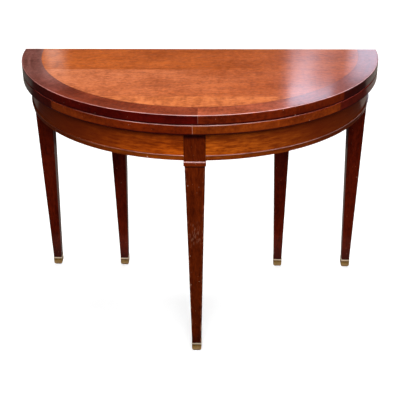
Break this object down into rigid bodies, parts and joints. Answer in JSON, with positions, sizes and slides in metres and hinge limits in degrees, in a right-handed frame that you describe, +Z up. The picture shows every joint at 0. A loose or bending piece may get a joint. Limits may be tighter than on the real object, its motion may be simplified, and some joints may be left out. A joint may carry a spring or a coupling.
{
  "type": "half-moon flip-top table",
  "caption": "Half-moon side table whose hinged upper leaf folds back to a round top, carried by a sliding rear frame on tapered legs with brass sabots.",
  "frame": {"origin": "on the floor under the middle of the closed table's box", "axes": "+X along the straight back edge, +Y from the round front to the back edge, +Z up"},
  "size_m": [1.1, 0.5534, 0.77],
  "materials": {
    "cherry_field": "glossy varnish",
    "mahogany_rim": "glossy varnish",
    "mahogany_moulding": "glossy varnish",
    "cherry_apron": "glossy varnish",
    "mahogany_leg": "satin varnish",
    "beech_frame": "bare planed wood",
    "brass": "aged polished brass"
  },
  "bodies": {
    "front_frame": {"apron_left": "cherry_apron", "apron_moulding_left": "mahogany_moulding", "apron_moulding_right": "mahogany_moulding", "apron_right": "cherry_apron", "cross_rail": "beech_frame", "front_leg": "mahogany_leg", "front_sabot": "brass", "glue_blocks": "beech_frame", "guide_left_inner": "beech_frame", "guide_left_outer": "beech_frame", "guide_right_inner": "beech_frame", "guide_right_outer": "beech_frame", "hinge_lower_left": "brass", "hinge_lower_middle": "brass", "hinge_lower_right": "brass", "hinge_pins": "brass", "lower_front_board": "cherry_field", "lower_middle_board": "cherry_field", "lower_rear_board": "cherry_field", "lower_rim_left": "mahogany_rim", "lower_rim_left_end": "mahogany_rim", "lower_rim_right": "mahogany_rim", "lower_rim_right_end": "mahogany_rim", "outer_leg_left": "mahogany_leg", "outer_leg_right": "mahogany_leg", "outer_sabot_left": "brass", "outer_sabot_right": "brass"},
    "upper_leaf": {"hinge_upper_left": "brass", "hinge_upper_middle": "brass", "hinge_upper_right": "brass", "upper_front_board": "cherry_field", "upper_middle_board": "cherry_field", "upper_rear_board": "cherry_field", "upper_rim_left": "mahogany_rim", "upper_rim_left_end": "mahogany_rim", "upper_rim_right": "mahogany_rim", "upper_rim_right_end": "mahogany_rim"},
    "rear_frame": {"inner_leg_left": "mahogany_leg", "inner_leg_right": "mahogany_leg", "inner_sabot_left": "brass", "inner_sabot_right": "brass", "rear_rail": "beech_frame", "runner_left": "beech_frame", "runner_right": "beech_frame", "stop_peg_left": "beech_frame", "stop_peg_right": "beech_frame"}
  },
  "joints": [
    {"name": "leaf_hinge", "type": "hinge", "parent": "front_frame", "child": "upper_leaf", "pos_m": [0, 0.27355, 0.7421], "axis": [-1, 0, 0], "range_deg": [0, 180]},
    {"name": "frame_slide", "type": "slide", "parent": "front_frame", "child": "rear_frame", "axis": [0, 1, 0], "range_m": [0, 0.3]}
  ]
}
